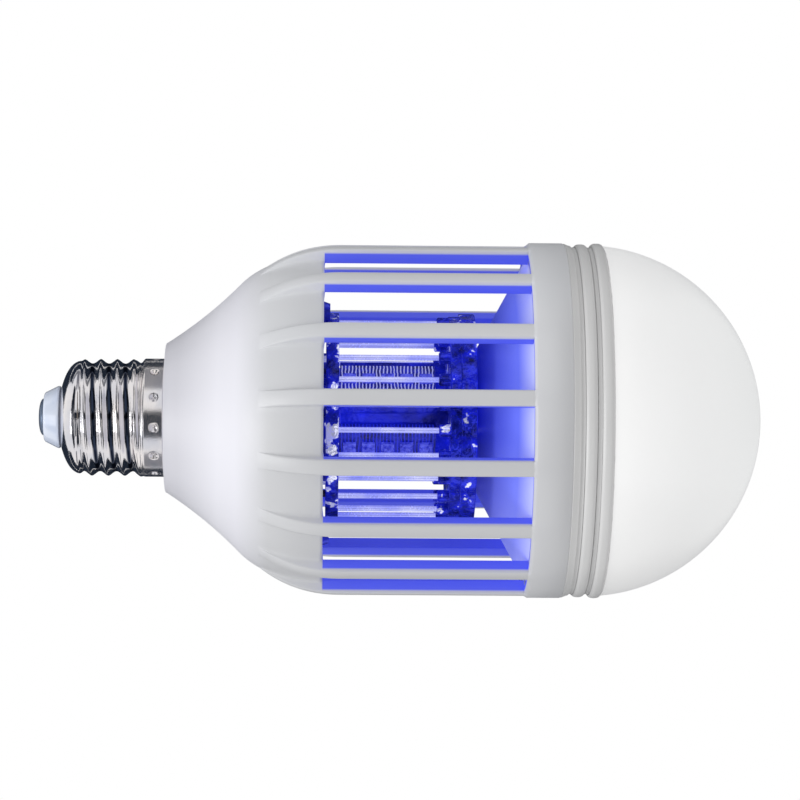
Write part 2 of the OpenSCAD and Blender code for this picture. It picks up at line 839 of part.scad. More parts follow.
module live_wires() {
    color("silver")
        around(live_count, wire_turn)
            grid_wire(live_foot, ring_top - bus_groove);
}

module return_wires() {
    color("silver")
        around(live_count, wire_turn + wire_step)
            grid_wire(low_ring_low + bus_groove, return_head);
}

module live_bus() {
    color("peru")
        ring(wire_ring_r + bus_half_w, wire_ring_r - bus_half_w,
            ring_top - bus_groove, ring_top - bus_groove + bus_t);
}

// Stamped ring with an arm to the lead in the column
module return_bus() {
    high = low_ring_low + bus_groove;
    arm_end = column_end_r + wire_gap;
    color("peru")
        union() {
            ring(wire_ring_r + bus_half_w, wire_ring_r - bus_half_w, high - bus_t, high);
            translate([-wire_ring_r, -bus_half_w, high - bus_t])
                cube([wire_ring_r - arm_end, 2 * bus_half_w, bus_t]);
        }
}

// Square column with bevelled corners and round ends, between the deck and the cone
module lamp_column() {
    flat_top = top_ring_low - slip;
    flat_low = low_collar_top + slip;
    near = column_half_w - column_bevel;
    color("mediumblue")
        difference() {
            union() {
                translate([0, 0, cone_top])
                    cylinder(r = column_end_r, h = window_top - cone_top);
                translate([0, 0, flat_low])
                    rotate(lamp_turn)
                        linear_extrude(height = flat_top - flat_low)
                            polygon([for (i = [0:3], side = [-1, 1])
                                let (a = 90 * i)
                                [
                                    column_half_w * cos(a) - side * near * sin(a),
                                    column_half_w * sin(a) + side * near * cos(a)
                                ]]);
            }
            translate([0, 0, cone_top - cut])
                cylinder(r = column_bore_r, h = window_top - cone_top + 2 * cut, $fn = 48);
            translate([0, 0, bus_lead_z])
                rotate([0, -90, 0])
                    cylinder(r = lead_r + slip, h = column_end_r + cut, $fn = 24);
            around(screw_count, deck_screw_turn)
                translate([(column_bore_r + column_end_r) / 2, 0, cone_top])
                    screw_hole(screw_l);
        }
}

module on_lamp_faces() {
    around(4, lamp_turn)
        translate([column_half_w, 0, lamp_mid])
            children();
}

module lamp_boards() {
    color("white")
        on_lamp_faces()
            translate([0, -lamp_board_w / 2, -lamp_board_l / 2])
                cube([lamp_board_t, lamp_board_w, lamp_board_l]);
}

module violet_chips() {
    color("violet")
        on_lamp_faces()
            for (i = [0:lamp_chips - 1])
                translate([lamp_board_t, 0, (i - (lamp_chips - 1) / 2) * chip_step]) {
                    translate([0, -chip_w / 2, -chip_w / 2])
                        cube([chip_t, chip_w, chip_w]);
                    translate([chip_t / 2, 0, 0])
                        rotate([0, 90, 0])
                            cylinder(r1 = chip_w * 0.4, r2 = chip_w / 4, h = chip_t / 2 + lens_h, $fn = 24);
                }
}

// Cone that throws the light out and the insects down to the foot of the windows
module catching_cone() {
    rim_r = collar_spigot_r;
    foot_r = cone_base_r + cone_rim_drop * cone_slope;
    drop = cone_wall * sqrt(1 + 1 / pow(cone_slope, 2));
    inside_r = cone_top_r - (drop - cone_wall) * cone_slope;
    seat_r = cone_top_r + (cone_top - drop - cone_seat) * cone_slope;
    color("aliceblue")
        difference() {
            rotate_extrude()
                polygon([
                    [column_bore_r, cone_top], [cone_top_r, cone_top],
                    [foot_r, cone_rim_top], [rim_r, cone_rim_top],
                    [rim_r, cone_seat], [seat_r, cone_seat],
                    [inside_r, cone_top - cone_wall], [column_bore_r, cone_top - cone_wall]
                ]);
            around(screw_count, deck_screw_turn)
                translate([(column_bore_r + column_end_r) / 2, 0, cone_top - cone_wall])
                    screw_hole(cone_wall + cut);
        }
}

module cone_screws() {
    color("silver")
        around(screw_count, deck_screw_turn)
            translate([(column_bore_r + column_end_r) / 2, 0, cone_top - cone_wall])
                screw();
}

// Grooved ring between the housing and the dome
module lower_collar() {
    groove_r = band_r - groove_depth;
    ridge_one = band_end - taper_l - groove_w;
    ridge_two = collar_end + ridge_l;
    color("gainsboro")
        difference() {
            rotate_extrude()
                polygon(concat(
                    [[collar_in_r, cone_seat], [collar_spigot_r, cone_seat]],
                    [[collar_spigot_r, band_end], [band_r, band_end]],
                    [[band_r - taper_in, band_end - taper_l], [groove_r, band_end - taper_l]],
                    ridge(groove_r, band_r - ridge_step, ridge_one, ridge_two + groove_w),
                    ridge(groove_r, band_r, ridge_two, collar_end),
                    [
                        [dome_spigot_r + slip, collar_end],
                        [dome_spigot_r + slip, plate_low],
                        [collar_in_r, plate_low],
                        [collar_in_r, ledge_low],
                        [ledge_r, ledge_low],
                        [ledge_r, ledge_low + ledge_t],
                        [collar_in_r, ledge_low + ledge_t]
                    ]
                ));
            around(screw_count, plate_screw_turn)
                translate([(ledge_r + collar_in_r) / 2, 0, ledge_low])
                    screw_hole(ledge_t + cut);
        }
}

module plate_disc(low, thick, r) {
    difference() {
        translate([0, 0, low])
            cylinder(r = r, h = thick);
        translate([0, 0, low - cut])
            cylinder(r = column_bore_r, h = thick + 2 * cut, $fn = 48);
        around(screw_count, plate_screw_turn)
            translate([(ledge_r + collar_in_r) / 2, 0, low])
                screw_hole(thick + cut);
    }
}

module heat_sink() {
    color("darkgray")
        plate_disc(sink_low, sink_t, collar_in_r - slip);
}

module lamp_plate() {
    color("white")
        plate_disc(plate_low, plate_t, collar_in_r - slip);
}

module plate_screws() {
    color("silver")
        around(screw_count, plate_screw_turn)
            translate([(ledge_r + collar_in_r) / 2, 0, plate_low])
                screw();
}

module white_chips() {
    module chip_circle(count, r) {
        around(count)
            translate([r - chip_w / 2, -chip_w / 2, plate_low - chip_t])
                cube([chip_w, chip_w, chip_t]);
    }
    color("khaki") {
        chip_circle(white_count, ledge_r - white_inset);
        chip_circle(white_count / 2, ledge_r / 2);
    }
}

// Frosted dome with a spigot that clips into the collar
module dome_diffuser() {
    start = asin((collar_end - dome_centre) / dome_r);
    steps = 24;
    inner_r = dome_r - dome_wall;
    inner_start = asin((collar_end - dome_centre) / inner_r);
    function arc(r, from) = [
        for (i = [0:steps])
            let (a = from + (-90 - from) * i / steps)
            [r * cos(a), dome_centre + r * sin(a)]
    ];
    color("ghostwhite")
        rotate_extrude()
            polygon(concat(
                [[dome_spigot_r, collar_end + dome_spigot_l], [dome_spigot_r, collar_end]],
                arc(dome_r, start),
                backwards(arc(inner_r, inner_start)),
                [
                    [dome_spigot_r - dome_wall, collar_end],
                    [dome_spigot_r - dome_wall, collar_end + dome_spigot_l]
                ]
            ));
}

centre_contact();
cap_insulator();
cap_shell();
upper_housing();
upper_deck();
deck_screws();
driver_board();
smoothing_capacitor();
transformer_core();
transformer_winding();
film_capacitor();
rectifier();
inductor();
fuse_resistor();
live_lead();
neutral_lead();
grid_leads();
lamp_leads();
grid_top_ring();
grid_low_ring();
live_wires();
return_wires();
live_bus();
return_bus();
lamp_column();
lamp_boards();
violet_chips();
catching_cone();
cone_screws();
lower_collar();
heat_sink();
lamp_plate();
plate_screws();
white_chips();
dome_diffuser();
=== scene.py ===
from math import asin, atan2, cos, hypot, pi, radians, sin, sqrt

import bmesh
import bpy
from mathutils import Matrix, Vector


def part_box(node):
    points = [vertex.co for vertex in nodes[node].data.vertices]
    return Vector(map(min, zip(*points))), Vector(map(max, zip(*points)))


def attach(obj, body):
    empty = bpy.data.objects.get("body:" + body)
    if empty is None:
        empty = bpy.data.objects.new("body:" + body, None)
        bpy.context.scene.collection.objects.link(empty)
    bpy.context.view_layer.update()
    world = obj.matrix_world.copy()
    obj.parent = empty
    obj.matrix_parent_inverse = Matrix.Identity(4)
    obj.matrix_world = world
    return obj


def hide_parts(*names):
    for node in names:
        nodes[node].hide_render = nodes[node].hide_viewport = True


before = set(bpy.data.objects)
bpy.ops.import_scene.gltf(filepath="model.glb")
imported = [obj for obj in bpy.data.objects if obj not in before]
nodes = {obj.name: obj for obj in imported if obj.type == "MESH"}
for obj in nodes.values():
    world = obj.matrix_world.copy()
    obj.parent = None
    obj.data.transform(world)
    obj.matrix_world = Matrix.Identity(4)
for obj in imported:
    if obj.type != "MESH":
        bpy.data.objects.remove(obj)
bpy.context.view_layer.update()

mm = 0.001

# The camera. It looks at the lamp from the side, with the screw cap to the left and +X up. The
# lamp lies almost level in the picture, a little below its middle, and its cap is a little nearer.
view_turn = radians(-85.75)
cap_nearer = radians(1.45)
camera_roll = radians(0.42)
camera_distance = 720 * mm
view_depth = -51.9 * mm
picture_side = 800
axis_below_middle = 19.5
back = Vector((cos(view_turn) * cos(cap_nearer), sin(view_turn) * cos(cap_nearer), sin(cap_nearer)))
level = (Vector((0, 0, -1)) + back * back.z).normalized()
upright = back.cross(level)
right = cos(camera_roll) * level + sin(camera_roll) * upright
up = cos(camera_roll) * upright - sin(camera_roll) * level
camera = bpy.data.objects.new("camera", bpy.data.cameras.new("camera"))
camera.matrix_world = (
    Matrix.Translation(Vector((0, 0, view_depth)) + camera_distance * back)
    @ Matrix((right, up, back)).transposed().to_4x4()
)
camera.data.sensor_width = 36
camera.data.lens = 145.8
camera.data.shift_y = axis_below_middle / picture_side
bpy.context.scene.collection.objects.link(camera)
bpy.context.scene.camera = camera

# The studio. A round pale table stands clear of the dome, below the hanging lamp. A soft lamp
# lights it from the cap's side and the room from all round, and dark cards, which only polished
# metal shows, stand round the cap. The picture's background is plain white.
table_r = 150 * mm
table_z = -195 * mm
ambient = 0.56
bpy.context.scene.view_settings.view_transform = "Standard"

table_shape = bmesh.new()
bmesh.ops.create_circle(table_shape, cap_ends=True, segments=96, radius=table_r)
bmesh.ops.translate(table_shape, verts=table_shape.verts, vec=(0, 0, table_z))
table_mesh = bpy.data.meshes.new("table")
table_shape.to_mesh(table_mesh)
table_shape.free()
table = bpy.data.objects.new("table", table_mesh)
bpy.context.scene.collection.objects.link(table)

world = bpy.data.worlds.new("studio")
bpy.context.scene.world = world
world.use_nodes = True
sky = world.node_tree
background = sky.nodes["Background"]
background.inputs["Color"].default_value = (1, 1, 1, 1)
ray = sky.nodes.new("ShaderNodeLightPath")
straight = sky.nodes.new("ShaderNodeMath")
straight.operation = "MAXIMUM"
shown = sky.nodes.new("ShaderNodeMath")
shown.operation = "MAXIMUM"
strength = sky.nodes.new("ShaderNodeMapRange")
strength.inputs["To Min"].default_value = ambient
strength.inputs["To Max"].default_value = 1
sky.links.new(ray.outputs["Is Camera Ray"], straight.inputs[0])
sky.links.new(ray.outputs["Is Glossy Ray"], straight.inputs[1])
sky.links.new(straight.outputs[0], shown.inputs[0])
sky.links.new(ray.outputs["Is Transmission Ray"], shown.inputs[1])
sky.links.new(shown.outputs[0], strength.inputs["Value"])
sky.links.new(strength.outputs["Result"], background.inputs["Strength"])


def soft_lamp(name, place, side, watts):
    """A square soft lamp that looks at the middle of the cage."""
    light = bpy.data.lights.new(name, "AREA")
    light.size = side
    light.energy = watts
    lamp = bpy.data.objects.new(name, light)
    aim = Vector((0, 0, view_depth)) - Vector(place)
    lamp.matrix_world = Matrix.Translation(place) @ aim.to_track_quat("-Z", "Y").to_matrix().to_4x4()
    bpy.context.scene.collection.objects.link(lamp)


soft_lamp("cap_side_lamp", (-0.1, -0.42, 0.74), 0.5, 3.7)


def dark_card(name, round_axis, along_axis, width, length, tone=(0.025, 0.035, 0.055, 1)):
    """A dark card that faces the cap at an angle round its axis, from the camera up, and along it."""
    distance = 0.5
    shape = bmesh.new()
    bmesh.ops.create_grid(shape, x_segments=1, y_segments=1, size=0.5)
    bmesh.ops.scale(shape, verts=shape.verts, vec=(width, length, 1))
    turn = view_turn + round_axis
    way = Vector((cos(turn) * cos(along_axis), sin(turn) * cos(along_axis), sin(along_axis)))
    across = Vector((-sin(turn), cos(turn), 0))
    facing = Matrix((across, way.cross(across), way)).transposed().to_4x4()
    bmesh.ops.transform(shape, verts=shape.verts, matrix=Matrix.Translation(way * distance) @ facing)
    mesh = bpy.data.meshes.new(name)
    shape.to_mesh(mesh)
    shape.free()
    card_paint = bpy.data.materials.new(name)
    card_paint.use_nodes = True
    card_paint.node_tree.nodes["Principled BSDF"].inputs["Base Color"].default_value = tone
    card_paint.node_tree.nodes["Principled BSDF"].inputs["Specular IOR Level"].default_value = 0
    mesh.materials.append(card_paint)
    card = bpy.data.objects.new(name, mesh)
    bpy.context.scene.collection.objects.link(card)
    card.visible_camera = card.visible_diffuse = card.visible_shadow = False
    card.visible_transmission = card.visible_volume_scatter = False


dark_card("front_card", radians(-13), 0, 0.5, 0.22)
dark_card("front_strip", radians(3), 0, 0.12, 1.2)
dark_card("upper_skirt_card", radians(80), 0, 0.42, 0.2, (0.34, 0.35, 0.39, 1))
dark_card("lower_skirt_card", radians(-92), 0, 0.34, 0.2, (0.34, 0.35, 0.39, 1))
dark_card("upper_grey_card", radians(104), 0, 0.1, 1.2, (0.3, 0.31, 0.34, 1))
dark_card("upper_dark_card", radians(126), 0, 0.24, 1.2)
dark_card("upper_back_card", radians(161), 0, 0.34, 1.2)
dark_card("lower_dark_card", radians(-128), 0, 0.24, 1.2)
dark_card("lower_back_card", radians(-162), 0, 0.34, 1.2)
dark_card("cap_side_card", radians(10), radians(34), 1.2, 0.12, (0.2, 0.2, 0.21, 1))
dark_card("cap_end_card", 0, radians(58), 1.4, 0.26)
dark_card("dome_side_card", 0, radians(-32), 1.2, 0.1, (0.3, 0.26, 0.22, 1))
dark_card("dome_end_card", 0, radians(-56), 1.4, 0.26)

# The cap shell: pressed steel sheet with a rolled thread, a plain skirt crimped to the housing's
# neck by a row of punch marks, and a rounded nose. It is nickel plated and polished.
skirt_l = 6.6
thread_low = 4.8
thread_pitch = 3.63
thread_top = 19.2
thread_depth = 1.0
thread_inset = 0.15
thread_turn = radians(10)
root_width = 0.75
sheet_t = 0.6
nose_join_r = 12.45
nose_edge_r = 6.9
crimp_count = 12
crimp_turn = radians(24.5)
crimp_z = 2.2
crimp_r = 1.1
crimp_depth = 0.7
cap_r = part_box("cap_shell")[1].x / mm
cap_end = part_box("cap_shell")[1].z / mm
root_r = cap_r - thread_inset - thread_depth


def ease(t):
    """A smooth step from 0 to 1."""
    t = min(max(t, 0), 1)
    return t * t * (3 - 2 * t)


def bend(start, corner, end, count=8):
    """Points of a smooth bend from start to end, drawn towards corner."""
    shares = [i / count for i in range(count + 1)]
    return [
        tuple((1 - t) ** 2 * a + 2 * t * (1 - t) * b + t * t * c for a, b, c in zip(start, corner, end))
        for t in shares
    ]


def turned(outline, steps=128):
    """Spins a closed outline of radius and height once round the lamp's axis."""
    shape = bmesh.new()
    points = [shape.verts.new((r, 0, z)) for r, z in outline]
    edges = [shape.edges.new(pair) for pair in zip(points, points[1:] + points[:1])]
    bmesh.ops.spin(
        shape, geom=points + edges, cent=(0, 0, 0), axis=(0, 0, 1), angle=2 * pi, steps=steps, use_merge=True
    )
    return shape


def fit(shape, name, material, slot, *stands_for, crease=35):
    """Makes a piece of a mesh drawn in millimetres, which rides with the lamp."""
    bmesh.ops.remove_doubles(shape, verts=shape.verts, dist=0.003)
    bmesh.ops.dissolve_degenerate(shape, edges=shape.edges, dist=0.001)
    bmesh.ops.recalc_face_normals(shape, faces=shape.faces)
    bmesh.ops.scale(shape, verts=shape.verts, vec=(mm, mm, mm))
    for face in shape.faces:
        face.smooth = True
    for edge in shape.edges:
        edge.smooth = edge.calc_face_angle(0) < radians(crease)
    mesh = bpy.data.meshes.new(name)
    shape.to_mesh(mesh)
    shape.free()
    mesh.materials.append(material)
    piece = bpy.data.objects.new(name, mesh)
    bpy.context.scene.collection.objects.link(piece)
    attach(piece, "root")
    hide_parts(*stands_for)
    return piece


def linear(code):
    """Linear colour, with alpha, of a six digit sRGB code."""
    parts = [int(code[i:i + 2], 16) / 255 for i in (0, 2, 4)]
    return [*(p / 12.92 if p <= 0.04045 else ((p + 0.055) / 1.055) ** 2.4 for p in parts), 1]


def shared_group(name, inputs, outputs):
    """An empty shader group with its sockets, and its two end nodes."""
    group = bpy.data.node_groups.new(name, "ShaderNodeTree")
    for socket, kind in inputs:
        group.interface.new_socket(socket, in_out="INPUT", socket_type=kind)
    for socket in outputs:
        group.interface.new_socket(socket, in_out="OUTPUT", socket_type="NodeSocketFloat")
    return group, group.nodes.new("NodeGroupInput"), group.nodes.new("NodeGroupOutput")


surface, surface_in, surface_out = shared_group(
    "surface_grain",
    [("Place", "NodeSocketVector"), ("Drift scale", "NodeSocketFloat"), ("Grain scale", "NodeSocketFloat")],
    ["Drift", "Grain"],
)
for scale_name, output_name, octaves in (("Drift scale", "Drift", 3), ("Grain scale", "Grain", 2)):
    pattern = surface.nodes.new("ShaderNodeTexNoise")
    pattern.inputs["Detail"].default_value = octaves
    spread = surface.nodes.new("ShaderNodeMapRange")
    spread.inputs["From Min"].default_value = 0.3
    spread.inputs["From Max"].default_value = 0.7
    surface.links.new(surface_in.outputs["Place"], pattern.inputs["Vector"])
    surface.links.new(surface_in.outputs[scale_name], pattern.inputs["Scale"])
    surface.links.new(pattern.outputs["Fac"], spread.inputs["Value"])
    surface.links.new(spread.outputs["Result"], surface_out.inputs[output_name])


lamp_place, lamp_place_in, lamp_place_out = shared_group(
    "place_on_lamp", [("Place", "NodeSocketVector")], ["Radius", "Height", "Across"]
)
flattened = lamp_place.nodes.new("ShaderNodeVectorMath")
flattened.operation = "MULTIPLY"
flattened.inputs[1].default_value = (1, 1, 0)
from_axis = lamp_place.nodes.new("ShaderNodeVectorMath")
from_axis.operation = "LENGTH"
apart = lamp_place.nodes.new("ShaderNodeSeparateXYZ")
lamp_place.links.new(lamp_place_in.outputs["Place"], flattened.inputs[0])
lamp_place.links.new(flattened.outputs["Vector"], from_axis.inputs[0])
lamp_place.links.new(from_axis.outputs["Value"], lamp_place_out.inputs["Radius"])
lamp_place.links.new(lamp_place_in.outputs["Place"], apart.inputs["Vector"])
lamp_place.links.new(apart.outputs["Z"], lamp_place_out.inputs["Height"])
lamp_place.links.new(apart.outputs["X"], lamp_place_out.inputs["Across"])


def placed(material):
    """Radius, height and way across on the lamp, as outputs in a material."""
    tree = material.node_tree
    where = tree.nodes.new("ShaderNodeGroup")
    where.node_tree = lamp_place
    tree.links.new(tree.nodes["Texture Coordinate"].outputs["Object"], where.inputs["Place"])
    return where.outputs["Radius"], where.outputs["Height"], where.outputs["Across"]


def mixed(tree, share, first, second):
    """Mixes two colours, each a node output or a code, by a share that changes over the surface."""
    mix = tree.nodes.new("ShaderNodeMix")
    mix.data_type = "RGBA"
    tree.links.new(share, mix.inputs[0])
    for socket, colour in ((mix.inputs[6], first), (mix.inputs[7], second)):
        if isinstance(colour, str):
            socket.default_value = linear(colour)
        else:
            tree.links.new(colour, socket)
    return mix.outputs[2]


def stepped(tree, value, start, end):
    """A share that goes from 0 at start to 1 at end, both in millimetres."""
    step = tree.nodes.new("ShaderNodeMapRange")
    step.inputs["From Min"].default_value = start * mm
    step.inputs["From Max"].default_value = end * mm
    tree.links.new(value, step.inputs["Value"])
    return step.outputs["Result"]


def finish(name, tone, deep, rough, drift=60, grain=1500, bump=0.02, metallic=0, coat=0, glow=0):
    """A material that drifts between two tones and carries a fine grain in its roughness and bump."""
    material = bpy.data.materials.new(name)
    material.use_nodes = True
    tree = material.node_tree
    shader = tree.nodes["Principled BSDF"]
    place = tree.nodes.new("ShaderNodeTexCoord")
    pattern = tree.nodes.new("ShaderNodeGroup")
    pattern.name = "pattern"
    pattern.node_tree = surface
    pattern.inputs["Drift scale"].default_value = drift
    pattern.inputs["Grain scale"].default_value = grain
    tree.links.new(place.outputs["Object"], pattern.inputs["Place"])
    colour = mixed(tree, pattern.outputs["Drift"], deep, tone)
    tree.links.new(colour, shader.inputs["Base Color"])
    roughness = tree.nodes.new("ShaderNodeMapRange")
    roughness.inputs["To Min"].default_value = rough * 0.85
    roughness.inputs["To Max"].default_value = rough * 1.15
    tree.links.new(pattern.outputs["Grain"], roughness.inputs["Value"])
    tree.links.new(roughness.outputs["Result"], shader.inputs["Roughness"])
    relief = tree.nodes.new("ShaderNodeBump")
    relief.inputs["Distance"].default_value = bump * mm
    tree.links.new(pattern.outputs["Grain"], relief.inputs["Height"])
    tree.links.new(relief.outputs["Normal"], shader.inputs["Normal"])
    shader.inputs["Metallic"].default_value = metallic
    shader.inputs["Coat Weight"].default_value = coat
    if glow:
        tree.links.new(colour, shader.inputs["Emission Color"])
        shader.inputs["Emission Strength"].default_value = glow
    return material


def plain_radius(z):
    """Radius of the sheet's outside before the thread is rolled into it."""
    step = thread_inset * ease((z - skirt_l + 0.2) / 0.4)
    shoulder = ease((z - thread_top + 1.7) / 1.9)
    return cap_r - step - (cap_r - thread_inset - nose_join_r) * shoulder


def thread_dip(angle, z):
    """Depth of the rolled thread, which fades into the skirt and into the nose."""
    swell = ease((z - thread_low + 0.4) / 1.2) * (1 - ease((z - thread_top + 1.4) / 1.4))
    wave = (1 - cos(2 * pi * z / thread_pitch - angle + thread_turn)) / 2
    return thread_depth * swell * wave**root_width


def crimp_dip(angle, z):
    """Depth of the nearest punch mark."""
    spacing = 2 * pi / crimp_count
    off = (angle - crimp_turn + spacing / 2) % spacing - spacing / 2
    near = hypot(off * cap_r, z - crimp_z) / crimp_r
    return crimp_depth * (1 - near * near) ** 2 if near < 1 else 0


wall_rows = [(plain_radius(0.2 * i), 0.2 * i) for i in range(1, 96)]
nose = bend(wall_rows[-1], (wall_rows[-1][0] - 0.5, cap_end - 1.5), (nose_edge_r, cap_end - 0.1), 12)
skin = [(cap_r - 0.25, 0), *wall_rows, *nose[1:], (nose_edge_r - 0.2, cap_end)]
shell_shape = turned(skin + [(max(r - sheet_t, nose_edge_r - sheet_t), min(z, cap_end - sheet_t)) for r, z in skin[::-1]], 240)
for point in shell_shape.verts:
    turn = atan2(point.co.y, point.co.x)
    radius = hypot(point.co.x, point.co.y)
    sunk = radius - thread_dip(turn, point.co.z) - crimp_dip(turn, point.co.z)
    point.co.x *= sunk / radius
    point.co.y *= sunk / radius
nickel = finish("polished_nickel", "efe9e6", "cdced6", 0.09, drift=140, grain=2500, bump=0.004, metallic=1)
nickel_tree = nickel.node_tree
nickel_shader = nickel_tree.nodes["Principled BSDF"]
nickel_r, nickel_z, nickel_x = placed(nickel)
# Painted shade: the thread's roots are painted dark blue-grey in the nickel's colour.
painted_root_shade = nickel_tree.nodes.new("ShaderNodeMath")
painted_root_shade.operation = "MULTIPLY"
nickel_tree.links.new(stepped(nickel_tree, nickel_r, root_r + 0.22, root_r + 0.05), painted_root_shade.inputs[0])
nickel_tree.links.new(stepped(nickel_tree, nickel_z, thread_top - 0.9, thread_top - 1.7), painted_root_shade.inputs[1])
brushed = nickel_tree.nodes.new("ShaderNodeMath")
brushed.operation = "MULTIPLY_ADD"
brushed.inputs[1].default_value = 0.125
nickel_tree.links.new(stepped(nickel_tree, nickel_z, 6.2, 5), brushed.inputs[0])
nickel_tree.links.new(nickel_shader.inputs["Roughness"].links[0].from_socket, brushed.inputs[2])
nickel_tree.links.new(brushed.outputs[0], nickel_shader.inputs["Roughness"])
nickel_base = nickel_shader.inputs["Base Color"].links[0].from_socket
nickel_tree.links.new(
    mixed(nickel_tree, painted_root_shade.outputs[0], nickel_base, "2a3345"), nickel_shader.inputs["Base Color"]
)
fit(shell_shape, "rolled_thread_shell", nickel, "cap_metal", "cap_shell", crease=60)

# The cap insulator: a moulded ring of pale blue glass-like ceramic that fills the hole in the
# cap's nose and holds the centre contact. Its flange sits inside the nose.
insulator_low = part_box("cap_insulator")[0].z / mm
insulator_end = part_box("cap_insulator")[1].z / mm
flange_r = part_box("cap_insulator")[1].x / mm
rivet_hole_r = 1.55
insulator_tip_r = 5.2
insulator_line = [
    (rivet_hole_r, insulator_low),
    (flange_r, insulator_low),
    (flange_r, insulator_low + 0.56),
    (nose_edge_r - 0.75, cap_end - 1.1),
    (nose_edge_r - 0.75, cap_end + 0.1),
    (nose_edge_r - 0.35, cap_end + 0.15),
    *bend((nose_edge_r - 0.05, cap_end + 0.3), (nose_edge_r + 0.05, cap_end + 0.5), (nose_edge_r - 0.1, cap_end + 0.9), 4),
    *bend((5.7, insulator_end - 0.7), (5.45, insulator_end), (insulator_tip_r - 0.4, insulator_end), 5),
    (rivet_hole_r, insulator_end),
]
ceramic = finish("pale_blue_ceramic", "e6edfb", "d3def5", 0.22, drift=200, grain=900, bump=0.01, coat=0.6)
fit(turned(insulator_line, 96), "moulded_insulator", ceramic, "cap_insulator", "cap_insulator")

# The centre contact: a domed brass button, tinned, riveted through the insulator.
contact_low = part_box("centre_contact")[0].z / mm
contact_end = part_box("centre_contact")[1].z / mm
contact_r = 4.1
rivet_r = 1.4
contact_line = [
    (0, contact_low),
    (rivet_r - 0.3, contact_low),
    (rivet_r, contact_low + 0.3),
    (rivet_r, insulator_end),
    (contact_r - 0.1, insulator_end),
    *bend((contact_r, insulator_end + 0.15), (contact_r * 0.95, contact_end), (0, contact_end), 12),
]
tin = finish("tinned_button", "728096", "515f76", 0.35, drift=300, grain=3000, bump=0.006, metallic=0.6)
fit(turned(contact_line, 96), "domed_button", tin, "contact_metal", "centre_contact")

# The housing: one moulding of white plastic. A flared funnel rises into sixteen ribs, which end in
# a smooth band, and a short neck inside the cap holds it. The violet light of the lamp inside is
# painted onto its inner faces, and painted shading darkens its neck, lightens the shoulder below it
# and darkens its low side.
neck_r = 16.7
spigot_r = 12.1
spigot_l = 5.4
neck_bore_r = 9.8
flare_turn = (29.6, -16.3)
flare_corner = (22.475, -9.315)
wall = 2.0
shell_r = 36.1
window_top = -34.8
window_foot = -79.4
rib_count = 16
rib_w = 3.5
rib_r = 39.0
rib_in_r = 35.8
rib_start = (29.1, -16.8)
rib_full_z = -38.6
band_r = 39.4
band_in_r = 37.0
band_end = -87.6
edge_round = 0.45
foot_round = 0.7
boss_r = 3.0
deck_screw_ring_r = 28.0
deck_screw_turns = [radians(a) for a in (90, 210, 330)]
deck_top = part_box("upper_deck")[0].z / mm + 2
side_columns = 10
sector = 2 * pi / rib_count


def bend_radius(z, start, corner, end):
    """Radius at height z on the smooth bend from start to end, drawn towards corner."""
    a = start[1] - 2 * corner[1] + end[1]
    b = 2 * (corner[1] - start[1])
    c = start[1] - z
    t = 2 * c / (sqrt(max(b * b - 4 * a * c, 0)) - b)
    return (1 - t) ** 2 * start[0] + 2 * t * (1 - t) * corner[0] + t * t * end[0]


def shell_radius(z):
    """Outer radius of the funnel between its ribs."""
    if z > flare_turn[1]:
        return bend_radius(z, (neck_r, -0.4), flare_corner, flare_turn)
    return bend_radius(z, flare_turn, (shell_r, -22.67), (shell_r, window_top))


def rib_radius(z):
    """Outer radius of a rib, which rises out of the funnel's shoulder."""
    if z > rib_start[1]:
        return 0
    return bend_radius(max(z, rib_full_z), rib_start, (rib_r, -25.52), (rib_r, rib_full_z))


def row_of(z):
    """Outer radius, rib radius and inner radius of the funnel at height z."""
    r = shell_radius(z)
    slope = (shell_radius(z - 0.1) - r) / 0.1
    inner = neck_bore_r if z > -wall else r - wall * sqrt(1 + slope * slope)
    return (z, r, max(rib_radius(z), r), inner, False)


rows = [
    (spigot_l, spigot_r - 0.4, 0, neck_bore_r, False),
    (spigot_l - 0.4, spigot_r, 0, neck_bore_r, False),
    (0, spigot_r, 0, neck_bore_r, False),
    (0, neck_r - 0.4, 0, neck_bore_r, False),
    (-0.12, neck_r - 0.12, 0, neck_bore_r, False),
]
rows += [row_of(-0.4 - 0.82 * i) for i in range(20)]
rows += [row_of(-16.8 - 0.36 * i) for i in range(1, 50)]
rows += [
    (window_top, shell_r - 0.3, rib_radius(window_top), shell_r - wall, False),
    *[(z, rib_in_r, rib_radius(z), rib_in_r, True) for z in (-35.0, -35.6, -36.4, -37.4, -38.6, -50, -65)],
    (window_foot + 0.5, rib_in_r, rib_r, rib_in_r, True),
    (window_foot + 0.05, rib_in_r, rib_r, rib_in_r, True),
    (window_foot, rib_r - 0.3, rib_r, band_in_r, False),
    (window_foot - 0.3, rib_r, rib_r + 0.1, band_in_r, False),
    (window_foot - 0.8, band_r, band_r, band_in_r, False),
    (band_end + 0.25, band_r, band_r, band_in_r, False),
    (band_end, band_r - 0.2, 0, band_in_r, False),
]


def outer_place(row, column):
    """Place of an outer point in the sector, with the rib's middle on +X."""
    z, base, top, inner, is_window = rows[row]
    rise = max(top - base, 0)
    half = rib_w / 2
    crown = min(edge_round, 0.45 * rise)
    foot = min(foot_round, 0.5 * rise)
    level_line = [
        (top if rise else base, 0),
        (top if rise else base, half - crown),
        (base + rise - 0.29 * crown, half - 0.29 * crown),
        (base + rise - crown, half),
        (base + foot, half),
        (base + 0.29 * foot, half + 0.29 * foot),
        (base, half + foot),
    ]
    if is_window:
        level_line[4:] = [(inner + 0.3, half), (inner + 0.09, half - 0.09), (inner, half - 0.3)]
    k = abs(column)
    if k < len(level_line):
        r, y = level_line[k]
        turn = asin(y / r)
    else:
        r, y = level_line[-1]
        share = (k - len(level_line) + 1) / (side_columns - len(level_line) + 1)
        turn = asin(y / r) * (1 - share) + sector / 2 * share
    side = 1 if column > 0 else -1
    return Vector((r * cos(turn), side * r * sin(turn), z))


